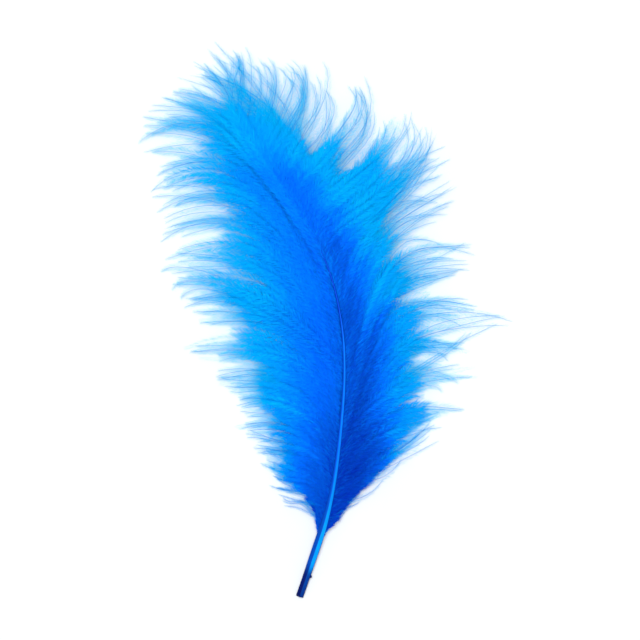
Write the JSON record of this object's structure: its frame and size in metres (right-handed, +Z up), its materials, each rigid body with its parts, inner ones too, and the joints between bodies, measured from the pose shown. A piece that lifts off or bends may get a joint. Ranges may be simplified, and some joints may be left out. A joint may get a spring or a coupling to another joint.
{
  "type": "marabou feather",
  "caption": "Soft dyed marabou plume lying flat, with a hollow cut quill, a curved tapering shaft and downy locks of barbs fanning out on both sides.",
  "frame": {"origin": "on the surface that the feather lies on, under the middle of its outline", "axes": "+Y from the quill towards the tip, +X to the right seen from above, +Z up from the surface"},
  "size_m": [0.0936, 0.1395, 0.0132],
  "materials": {
    "dyed_feather": "matte"
  },
  "bodies": {
    "root": {"feather": "dyed_feather"}
  },
  "joints": []
}
